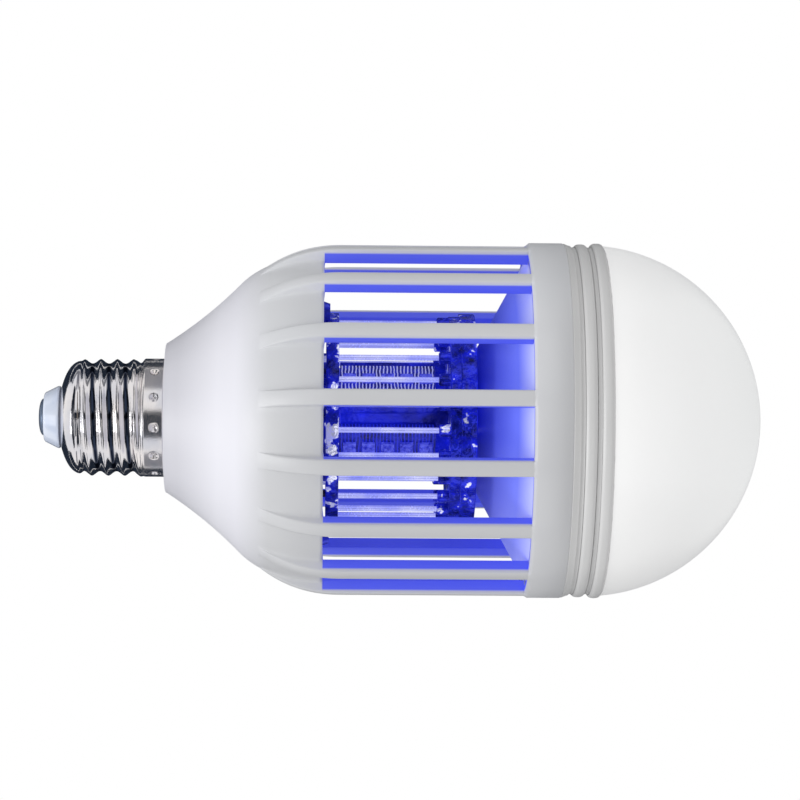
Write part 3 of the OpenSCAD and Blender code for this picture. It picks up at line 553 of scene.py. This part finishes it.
def inner_place(row, column):
    """Place of the point behind it on the inner wall, or on the rib's inner face."""
    z, base, top, inner, is_window = rows[row]
    out = outer_place(row, column)
    if is_window:
        half = rib_w / 2 - 0.3
        y = min(max(out.y, -half), half) if column else 0
        if abs(column) >= 3:
            y = half if column > 0 else -half
        return Vector((sqrt(inner * inner - y * y), y, z))
    turn = atan2(out.y, out.x)
    return Vector((inner * cos(turn), inner * sin(turn), z))


housing_shape = bmesh.new()
row_layer = housing_shape.verts.layers.int.new("row")
column_layer = housing_shape.verts.layers.int.new("column")
line = [housing_shape.verts.new((10 + i, 0, 0)) for i in range(len(rows))]
line_edges = [housing_shape.edges.new(pair) for pair in zip(line, line[1:])]
bmesh.ops.spin(
    housing_shape, geom=line + line_edges, cent=(0, 0, 0), axis=(0, 0, 1), angle=sector, steps=2 * side_columns
)
for point in housing_shape.verts:
    point[row_layer] = round(hypot(point.co.x, point.co.y)) - 10
    point[column_layer] = round(atan2(point.co.y, point.co.x) / sector * 2 * side_columns) - side_columns
openings = [
    face
    for face in housing_shape.faces
    if any(rows[point[row_layer]][4] for point in face.verts)
    and all(abs(point[column_layer]) >= 6 for point in face.verts)
]
bmesh.ops.delete(housing_shape, geom=openings, context="FACES")
grown = bmesh.ops.extrude_face_region(housing_shape, geom=housing_shape.faces[:], use_keep_orig=True)
inner_points = {g for g in grown["geom"] if isinstance(g, bmesh.types.BMVert)}
cuts = [
    face
    for face in housing_shape.faces
    if len({point[column_layer] for point in face.verts}) == 1
    and abs(face.verts[0][column_layer]) == side_columns
]
bmesh.ops.delete(housing_shape, geom=cuts, context="FACES_ONLY")
for point in housing_shape.verts:
    place = inner_place if point in inner_points else outer_place
    point.co = place(point[row_layer], point[column_layer])
bmesh.ops.rotate(
    housing_shape, verts=housing_shape.verts, cent=(0, 0, 0), matrix=Matrix.Rotation(sector / 2, 3, "Z")
)
bmesh.ops.spin(
    housing_shape,
    geom=housing_shape.verts[:] + housing_shape.edges[:] + housing_shape.faces[:],
    cent=(0, 0, 0),
    axis=(0, 0, 1),
    angle=2 * pi - sector,
    steps=rib_count - 1,
    use_duplicate=True,
)
for turn in deck_screw_turns:
    boss_h = 12
    bmesh.ops.create_cone(
        housing_shape,
        cap_ends=True,
        segments=32,
        radius1=boss_r,
        radius2=boss_r,
        depth=boss_h,
        matrix=Matrix.Translation(
            (deck_screw_ring_r * cos(turn), deck_screw_ring_r * sin(turn), deck_top + boss_h / 2)
        ),
    )

light, light_in, light_out = shared_group(
    "violet_light",
    [("Radius", "NodeSocketFloat"), ("Height", "NodeSocketFloat"), ("Across", "NodeSocketFloat")],
    ["Inside", "Reach", "Rim", "Low side"],
)
inside_faces = light.nodes.new("ShaderNodeMath")
inside_faces.operation = "MULTIPLY"
inside_cage = light.nodes.new("ShaderNodeMath")
inside_cage.operation = "MULTIPLY"
light_r, light_z, light_x = (light_in.outputs[name] for name in ("Radius", "Height", "Across"))
light.links.new(stepped(light, light_z, window_top, window_top - 0.15), inside_faces.inputs[0])
light.links.new(stepped(light, light_z, window_foot - 0.2, window_foot), inside_faces.inputs[1])
light.links.new(inside_faces.outputs[0], inside_cage.inputs[0])
light.links.new(stepped(light, light_r, rib_r - 0.7, rib_r - 1.1), inside_cage.inputs[1])
light.links.new(inside_cage.outputs[0], light_out.inputs["Inside"])
light.links.new(stepped(light, light_r, 15, 29), light_out.inputs["Reach"])
light.links.new(stepped(light, light_r, 30, 35.8), light_out.inputs["Rim"])
# The low side gets a darker tint of its own, as painted shade.
light.links.new(stepped(light, light_x, -2, -58), light_out.inputs["Low side"])


def lit(material, near, far, rim, low):
    """Adds the violet lamp's light to the faces of a white piece that look into the cage."""
    tree = material.node_tree
    shader = tree.nodes["Principled BSDF"]
    source = tree.nodes.new("ShaderNodeGroup")
    source.node_tree = light
    for output, socket in zip(placed(material), source.inputs):
        tree.links.new(output, socket)
    tint = mixed(tree, source.outputs["Rim"], mixed(tree, source.outputs["Reach"], near, far), rim)
    tint = mixed(tree, source.outputs["Low side"], tint, low)
    base = shader.inputs["Base Color"].links[0].from_socket
    tree.links.new(mixed(tree, source.outputs["Inside"], base, tint), shader.inputs["Base Color"])
    tree.links.new(mixed(tree, source.outputs["Inside"], "000000", tint), shader.inputs["Emission Color"])
    shader.inputs["Emission Strength"].default_value = 0.24
    return material


white_plastic = finish("white_housing", "ecedf0", "e6e8ec", 0.42, drift=25, grain=3500, bump=0.006)
plastic_tree = white_plastic.node_tree
plastic_r, plastic_z, plastic_x = placed(white_plastic)
plastic_base = plastic_tree.nodes["Principled BSDF"].inputs["Base Color"]
# Painted shading: the funnel is painted darker at the neck and lighter on the shoulder below it, and lower down its low
# side is painted darker.
painted_neck_shading = mixed(plastic_tree, stepped(plastic_tree, plastic_z, -3, -12), "d9d9e1", "f0f0f8")
painted_low_side_shade = mixed(
    plastic_tree, stepped(plastic_tree, plastic_x, 30, -3), plastic_base.links[0].from_socket, "dadbde"
)
plastic_tree.links.new(
    mixed(plastic_tree, stepped(plastic_tree, plastic_z, -16, -23), painted_neck_shading, painted_low_side_shade), plastic_base
)
lit(white_plastic, "3f50e9", "5f6cf0", "5a67ec", "5461ea")
fit(housing_shape, "ribbed_housing", white_plastic, "housing", "upper_housing", crease=50)

# The deck and its screws: a plain white disc screwed to three bosses in the funnel. It closes the
# funnel, carries the driver board in two rails and holds the grid unit below it.


def dress(node, material):
    """Gives a CAD piece its finish."""
    nodes[node].data.materials.clear()
    nodes[node].data.materials.append(material)


# Painted light: the white deck and its screws are painted deep blue with a glow, for the violet lamp's light on them.
painted_violet_deck = finish("lit_deck", "2c35c4", "1a22a4", 0.4, drift=80, grain=2500, glow=0.15)
steel = finish("zinc_screw_steel", "c4c6c9", "9da0a5", 0.3, drift=400, grain=3000, bump=0.01, metallic=1)
dress("upper_deck", painted_violet_deck)
dress("deck_screws", finish("lit_screw_steel", "4a55e6", "161d8a", 0.35, drift=400, grain=3000, metallic=0.8))
dress("cone_screws", steel)
dress("plate_screws", steel)

# The driver: a green board on edge in the funnel with the parts that make the lamp's supply and
# the grid's high voltage, each soldered to the board's faces.
dress("driver_board", finish("board_resist", "1d5a34", "123f25", 0.35, drift=300, grain=1800, bump=0.02, coat=0.3))
dress("smoothing_capacitor", finish("capacitor_sleeve", "232a52", "171c3a", 0.3, drift=200, grain=2500, coat=0.4))
dress("transformer_core", finish("sintered_ferrite", "3a3b3d", "242527", 0.65, drift=500, grain=2600, bump=0.04))
dress("transformer_winding", finish("enamelled_copper", "b5652c", "8c4519", 0.3, drift=900, grain=4200, bump=0.05, metallic=0.7))
dress("film_capacitor", finish("dipped_film", "c98a1f", "b37714", 0.35, drift=250, grain=1500, bump=0.03, coat=0.5))
dress("rectifier", finish("black_epoxy", "1b1c1e", "111214", 0.5, drift=400, grain=3200, bump=0.02))
dress("inductor", finish("wound_inductor", "7c3d1c", "562713", 0.4, drift=900, grain=4200, bump=0.05))
dress("fuse_resistor", finish("resistor_body", "c9b27c", "b39a64", 0.45, drift=300, grain=2400, bump=0.02))

# The leads: thin insulated wires, soldered to the board, that run up to the cap and down through
# the deck and the lamp column.
red_sleeve = finish("red_lead_sleeve", "b3201f", "8f1615", 0.4, drift=300, grain=2600, bump=0.01)
dress("live_lead", red_sleeve)
# Painted light: the grid leads' red sleeves are painted dark purple for the violet light on them.
dress("grid_leads", finish("lit_red_sleeve", "4a1058", "2c0a3c", 0.4, drift=300, grain=2600, bump=0.01))
dress("neutral_lead", finish("black_lead_sleeve", "1c1c1e", "101012", 0.4, drift=300, grain=2600, bump=0.01))
dress("lamp_leads", finish("yellow_lead_sleeve", "d9b326", "bd9718", 0.4, drift=300, grain=2600, bump=0.01))

# The grid unit's upper ring: a moulded ring with a rim that holds the wires' heads. It is glossy,
# and the violet light of the lamp that it goes round is painted into its colour and glow.
grid_r = 23.5
wire_ring_r = 21.4
top_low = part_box("grid_top_ring")[0].z / mm
top_high = -35.4
hub_r = 14.6
ring_bore_r = 9.5
top_ring_line = [
    (ring_bore_r, window_top),
    (hub_r, window_top),
    (hub_r, top_high),
    *bend((grid_r - 0.3, top_high), (grid_r, top_high), (grid_r, top_high - 0.3), 3),
    *bend((grid_r, top_low + 0.3), (grid_r, top_low), (grid_r - 0.3, top_low), 3),
    (ring_bore_r, top_low),
]
ring_gloss = finish(
    "violet_lit_ring", "2c3aee", "050848", 0.14, drift=330, grain=700, bump=0.12, metallic=0.7, coat=0.1, glow=0.26
)
ring_tree = ring_gloss.node_tree
ring_shader = ring_tree.nodes["Principled BSDF"]
ring_z = placed(ring_gloss)[1]
# Painted highlights: white glint patches, more of them on the upper ring, are painted into the colour and the glow.
painted_glint_bias = ring_tree.nodes.new("ShaderNodeMath")
painted_glint_bias.operation = "MULTIPLY_ADD"
painted_glint_bias.inputs[1].default_value = 0.2
ring_tree.links.new(stepped(ring_tree, ring_z, -60, -45), painted_glint_bias.inputs[0])
ring_tree.links.new(ring_tree.nodes["pattern"].outputs["Drift"], painted_glint_bias.inputs[2])
painted_glints = ring_tree.nodes.new("ShaderNodeMapRange")
painted_glints.inputs["From Min"].default_value = 0.82
painted_glints.inputs["From Max"].default_value = 0.9
ring_tree.links.new(painted_glint_bias.outputs[0], painted_glints.inputs["Value"])
for socket in ("Base Color", "Emission Color"):
    under = ring_shader.inputs[socket].links[0].from_socket
    ring_tree.links.new(mixed(ring_tree, painted_glints.outputs["Result"], under, "e8eaff"), ring_shader.inputs[socket])
fit(turned(top_ring_line), "upper_grid_ring", ring_gloss, "grid_ring", "grid_top_ring")

# The grid unit's lower ring: a wide rim, a narrower collar on it and a socket for the foot of each
# wire. It is moulded in the same plastic as the upper ring.
wire_count = 24
wire_turn = radians(13)
socket_r = 1.35
low_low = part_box("grid_low_ring")[0].z / mm
low_rim_top = -64.6
low_collar_top = -62.3
collar_step = 0.6
socket_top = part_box("grid_low_ring")[1].z / mm
low_ring_line = [
    (ring_bore_r, low_collar_top),
    *bend((grid_r - collar_step - 0.25, low_collar_top), (grid_r - collar_step, low_collar_top), (grid_r - collar_step, low_collar_top - 0.25), 3),
    (grid_r - collar_step, low_rim_top),
    *bend((grid_r - 0.3, low_rim_top), (grid_r, low_rim_top), (grid_r, low_rim_top - 0.3), 3),
    *bend((grid_r, low_low + 0.3), (grid_r, low_low), (grid_r - 0.3, low_low), 3),
    (hub_r + 1, low_low),
    (hub_r + 1, -67.7),
    (ring_bore_r, -67.7),
]
low_ring_shape = turned(low_ring_line)


def round_bar(shape, at_r, turn, r, low, high, ease_in=0.3, segments=20):
    """Adds an upright round bar with eased ends to a shape."""
    outline = [(0, low), (r - ease_in, low), (r, low + ease_in), (r, high - ease_in), (r - ease_in, high), (0, high)]
    points = [shape.verts.new((x, 0, z)) for x, z in outline]
    edges = [shape.edges.new(pair) for pair in zip(points, points[1:])]
    bmesh.ops.spin(
        shape, geom=points + edges, cent=(0, 0, 0), axis=(0, 0, 1), angle=2 * pi, steps=segments, use_merge=True
    )
    bar = set(points) | {v for f in shape.faces if f.is_valid and not f.tag for v in f.verts}
    for face in shape.faces:
        face.tag = True
    bmesh.ops.translate(shape, verts=list(bar), vec=(at_r * cos(turn), at_r * sin(turn), 0))


for face in low_ring_shape.faces:
    face.tag = True
for i in range(wire_count):
    turn = wire_turn + i * 2 * pi / wire_count
    round_bar(low_ring_shape, wire_ring_r, turn, socket_r, low_collar_top - 0.5, socket_top)
fit(low_ring_shape, "lower_grid_ring", ring_gloss, "grid_ring", "grid_low_ring")

# The grid wires: twenty four straight rods between the two rings, live and return by turns.
# They are the charged part of the trap; their bright lavender colour and glow are painted light from
# the lamp boards behind them.
wire_r = 0.6
painted_lit_wire = finish("painted_lit_grid_wire", "d9dcff", "9aa2fb", 0.25, drift=120, grain=2200, bump=0.01, metallic=0.6, glow=0.38)
for first, name, node in ((0, "live_grid_wires", "live_wires"), (1, "return_grid_wires", "return_wires")):
    foot, head = (corner.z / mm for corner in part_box(node))
    wires = bmesh.new()
    for i in range(first, wire_count, 2):
        round_bar(wires, wire_ring_r, wire_turn + i * 2 * pi / wire_count, wire_r, foot, head, 0.15, 16)
    fit(wires, name, painted_lit_wire, "grid_wire", node)

# The bus rings: two stamped brass rings in grooves of the grid unit that join the wires' ends.
brass = finish("stamped_brass", "c79a4b", "a67c36", 0.28, drift=300, grain=2600, bump=0.01, metallic=1)
dress("live_bus", brass)
dress("return_bus", brass)

# The lamp column: a square plastic post with bevelled corners and round ends, between the deck and
# the cone. It carries the four lamp boards, and the leads run down inside it.
column_half_w = 9.6
column_bevel = 1.2
column_end_r = 9.2
column_turn = radians(59)
flat_top = -38.5
flat_low = -62.0
column_low, column_high = (corner.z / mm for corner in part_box("lamp_column"))
column_shape = bmesh.new()
bmesh.ops.create_cube(column_shape, size=1)
bmesh.ops.scale(column_shape, verts=column_shape.verts, vec=(2 * column_half_w, 2 * column_half_w, flat_top - flat_low))
corners = [edge for edge in column_shape.edges if abs(edge.verts[0].co.z - edge.verts[1].co.z) > 1]
bmesh.ops.bevel(column_shape, geom=corners, offset=column_bevel, offset_type="OFFSET", segments=1, profile=0.5, affect="EDGES", material=-1)
bmesh.ops.bevel(column_shape, geom=column_shape.edges[:], offset=0.2, offset_type="OFFSET", segments=2, profile=0.5, affect="EDGES", material=-1)
bmesh.ops.rotate(column_shape, verts=column_shape.verts, cent=(0, 0, 0), matrix=Matrix.Rotation(column_turn, 3, "Z"))
bmesh.ops.translate(column_shape, verts=column_shape.verts, vec=(0, 0, (flat_top + flat_low) / 2))
for face in column_shape.faces:
    face.tag = True
for low, high in ((flat_top - 0.5, column_high), (column_low, flat_low + 0.5)):
    round_bar(column_shape, 0, 0, column_end_r, low, high, 0.3, 64)
# Painted light: the column's deep blue and glow stand in for the violet lamp's light on it.
painted_violet_column = finish("violet_lit_column", "1c2be6", "04063c", 0.2, drift=110, grain=500, bump=0.12, metallic=0.6, coat=0.1, glow=0.3)
fit(column_shape, "square_lamp_column", painted_violet_column, "column", "lamp_column")

# The lamp boards and chips: one narrow board on each face of the column with five violet chips
# under clear lenses.
# Painted light: the boards' deep blue and glow stand in for violet light. Their track lines are painted bright as
# highlights, and darker on the side away from the light as painted shade.
board_finish = finish("lit_board", "222ec8", "050a5c", 0.3, drift=500, grain=1200, bump=0.05, glow=0.25)
board_tree = board_finish.node_tree
tracks = board_tree.nodes.new("ShaderNodeTexWave")
tracks.bands_direction = "Z"
tracks.inputs["Scale"].default_value = 408
tracks.inputs["Distortion"].default_value = 2.5
sharp = board_tree.nodes.new("ShaderNodeMapRange")
sharp.inputs["From Min"].default_value = 0.62
sharp.inputs["From Max"].default_value = 0.86
board_tree.links.new(board_tree.nodes["Texture Coordinate"].outputs["Object"], tracks.inputs["Vector"])
board_tree.links.new(tracks.outputs["Fac"], sharp.inputs["Value"])
board_shader = board_tree.nodes["Principled BSDF"]
towards_shade = board_tree.nodes.new("ShaderNodeVectorMath")
towards_shade.operation = "DOT_PRODUCT"
towards_shade.inputs[1].default_value = (-cos(column_turn), -sin(column_turn), 0)
board_tree.links.new(board_tree.nodes["Texture Coordinate"].outputs["Object"], towards_shade.inputs[0])
shaded_board = stepped(board_tree, towards_shade.outputs["Value"], 8, 9)
painted_track_light_and_shade = mixed(board_tree, shaded_board, "d3d6ff", "2f3be0")
for socket in ("Base Color", "Emission Color"):
    under = board_shader.inputs[socket].links[0].from_socket
    board_tree.links.new(mixed(board_tree, sharp.outputs["Result"], under, painted_track_light_and_shade), board_shader.inputs[socket])
dress("lamp_boards", board_finish)
dress("violet_chips", finish("glowing_chip", "6c75f6", "1a22b8", 0.3, drift=1200, grain=3000, bump=0.02, glow=0.35))

# The catching cone: a moulded white cone with a flat top under the grid unit and a rim in the band.
# It throws the light out and the dead insects down. The lamp's light is painted on it from deep to
# pale violet, with painted shade on its low side.
cone_top = -67.7
cone_top_r = 14.0
cone_base_r = 35.36
cone_foot_r = 36.3
cone_rim_r = 36.7
cone_seat = -81.4
cone_rim_top = -79.9
cone_wall = 1.8
cone_line = [
    (4.2, cone_top),
    (cone_top_r - 0.6, cone_top),
    (cone_top_r + 0.1, cone_top - 0.1),
    (cone_base_r, window_foot),
    (cone_foot_r, cone_rim_top),
    (cone_rim_r, cone_rim_top),
    (cone_rim_r, cone_seat),
    (35.3, cone_seat),
    (13.3, cone_top - cone_wall),
    (4.2, cone_top - cone_wall),
]
cone_finish = lit(finish("violet_lit_cone", "e6e7ea", "dfe1e5", 0.4, drift=30, grain=3000, bump=0.006), "0e1cc4", "7280f3", "cdd3ff", "b4bafc")
fit(turned(cone_line), "catching_cone_moulding", cone_finish, "cone", "catching_cone")

# The lower collar: a white moulded ring with two raised ridges between grooves, pressed into the
# band. It carries the lamp plate on a ledge and the dome in a socket.
collar_in_r = 34.8
collar_spigot_r = 36.7
taper_l = 1.6
groove_w = 0.9
groove_r = 38.5
ridge_l = 2.7
ridge_one_r = 39.2
collar_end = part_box("lower_collar")[0].z / mm
ledge_r = 29.6
ledge_low = -89.1
dome_socket_r = 36.94
sink_and_plate = 2.6
ridge_one = band_end - taper_l - groove_w
ridge_two = collar_end + ridge_l


def ridge(r, top, low, rounding=1.15):
    """Outline of a raised ridge between two grooves, with rounded edges."""
    return [
        (groove_r + 0.15, top),
        *bend((r - rounding, top), (r, top), (r, top - rounding), 6),
        *bend((r, low + rounding), (r, low), (r - rounding, low), 6),
        (groove_r + 0.15, low),
    ]


collar_line = [
    (collar_in_r, cone_seat),
    (collar_spigot_r, cone_seat),
    (collar_spigot_r, band_end),
    (band_r - 0.25, band_end),
    (band_r - 0.1, band_end - 0.2),
    *bend((band_r - 0.5, band_end - taper_l + 0.4), (band_r - 0.55, band_end - taper_l), (groove_r + 0.3, band_end - taper_l), 4),
    *bend((groove_r, band_end - taper_l - 0.2), (groove_r, ridge_one), (groove_r + 0.1, ridge_one), 3),
    *ridge(ridge_one_r, ridge_one, ridge_two + groove_w),
    *bend((groove_r, ridge_two + groove_w - 0.1), (groove_r, ridge_two), (groove_r + 0.1, ridge_two), 3),
    *ridge(band_r, ridge_two, collar_end),
    (dome_socket_r, collar_end),
    (dome_socket_r, ledge_low - sink_and_plate),
    (collar_in_r, ledge_low - sink_and_plate),
    (collar_in_r, ledge_low),
    (ledge_r, ledge_low),
    (ledge_r, ledge_low + 1.6),
    (collar_in_r, ledge_low + 1.6),
]
collar_finish = finish("white_collar", "e8e8e8", "e1e1e1", 0.36, drift=25, grain=3500, bump=0.006)
fit(turned(collar_line, 160), "grooved_collar", collar_finish, "collar", "lower_collar")

# The lamp plate: an aluminium board on a heat sink disc, screwed up to the collar's ledge, with
# two circles of white chips that light the dome.
dress("heat_sink", finish("rolled_aluminium", "b9bcc0", "9ea2a7", 0.35, drift=200, grain=2600, bump=0.02, metallic=1))
dress("lamp_plate", finish("white_plate_resist", "e4e6e6", "d6d9d9", 0.4, drift=150, grain=2200, bump=0.01))
dress("white_chips", finish("phosphor_chip", "e8dc8a", "d9c868", 0.4, drift=900, grain=3000, bump=0.01, glow=0.4))

# The dome: blow moulded frosted plastic, a little over a third of a ball, with a short spigot that
# clips into the collar.
dome_r = 39.0
dome_centre = -92.9
dome_wall = 2.0
dome_spigot_r = 36.64
dome_spigot_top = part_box("dome_diffuser")[1].z / mm


def ball_arc(r, start, count=40):
    """Points of the dome's curve from its rim down to the axis."""
    turns = [start + (-pi / 2 - start) * i / count for i in range(count + 1)]
    return [(r * cos(a) if a > -pi / 2 + 1e-6 else 0, dome_centre + r * sin(a)) for a in turns]


rim_turn = asin((collar_end - dome_centre) / dome_r)
inner_rim_turn = asin((collar_end - dome_centre) / (dome_r - dome_wall))
dome_line = [
    (dome_spigot_r - dome_wall, dome_spigot_top),
    (dome_spigot_r, dome_spigot_top),
    (dome_spigot_r, collar_end),
    *ball_arc(dome_r, rim_turn),
    *ball_arc(dome_r - dome_wall, inner_rim_turn)[::-1],
    (dome_spigot_r - dome_wall, collar_end),
]
# Painted light and shade: the dome's glow is painted light that flattens its shading, and it is painted darker towards
# its tip and on its low side.
frosted = finish("frosted_dome", "f4f4f4", "f0f0f0", 0.38, drift=20, grain=4000, bump=0.004, glow=0.36)
frosted_tree = frosted.node_tree
frosted_r, frosted_z, frosted_x = placed(frosted)
down = stepped(frosted_tree, frosted_z, collar_end, dome_centre - dome_r)
painted_low_shade = stepped(frosted_tree, frosted_x, -10, -39)
for socket in ("Base Color", "Emission Color"):
    near_rim = frosted_tree.nodes["Principled BSDF"].inputs[socket].links[0].from_socket
    painted_tip_shade = mixed(frosted_tree, down, near_rim, "e3e4e4")
    frosted_tree.links.new(
        mixed(frosted_tree, painted_low_shade, painted_tip_shade, "dedede"), frosted_tree.nodes["Principled BSDF"].inputs[socket]
    )
fit(turned(dome_line, 160), "frosted_dome_cover", frosted, "dome", "dome_diffuser")
